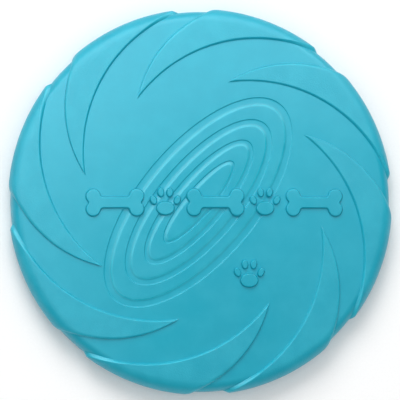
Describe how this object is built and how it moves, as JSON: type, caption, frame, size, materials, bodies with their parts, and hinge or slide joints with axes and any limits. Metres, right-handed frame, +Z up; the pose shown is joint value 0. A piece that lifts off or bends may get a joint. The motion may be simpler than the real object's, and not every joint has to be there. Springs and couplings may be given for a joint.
{
  "type": "flying disc",
  "caption": "Soft rubber flying disc: shallow dome with curved raised vanes, oval grooves, raised motifs and a thick rim, hollow underneath.",
  "frame": {"origin": "on the disc's axis, in the plane that the rim stands on", "axes": "+Z up through the crown; +X along the row of raised motifs, from its left end to its right end"},
  "size_m": [0.1794, 0.1794, 0.0233],
  "materials": {
    "rubber_smooth": "satin natural rubber, turquoise, moulded against a polished mould",
    "rubber_grained": "matte natural rubber, turquoise, moulded against a finely spark-eroded mould"
  },
  "bodies": {
    "root": {"flight_plate": "rubber_smooth", "rim": "rubber_smooth", "vane_1": "rubber_grained", "vane_2": "rubber_grained", "vane_3": "rubber_grained", "vane_4": "rubber_grained", "vane_5": "rubber_grained", "vane_6": "rubber_grained", "vane_7": "rubber_grained", "vane_8": "rubber_grained", "bone_motif_1": "rubber_smooth", "bone_motif_2": "rubber_smooth", "bone_motif_3": "rubber_smooth", "paw_motif_1": "rubber_smooth", "paw_motif_2": "rubber_smooth", "paw_motif_3": "rubber_smooth"}
  },
  "joints": []
}
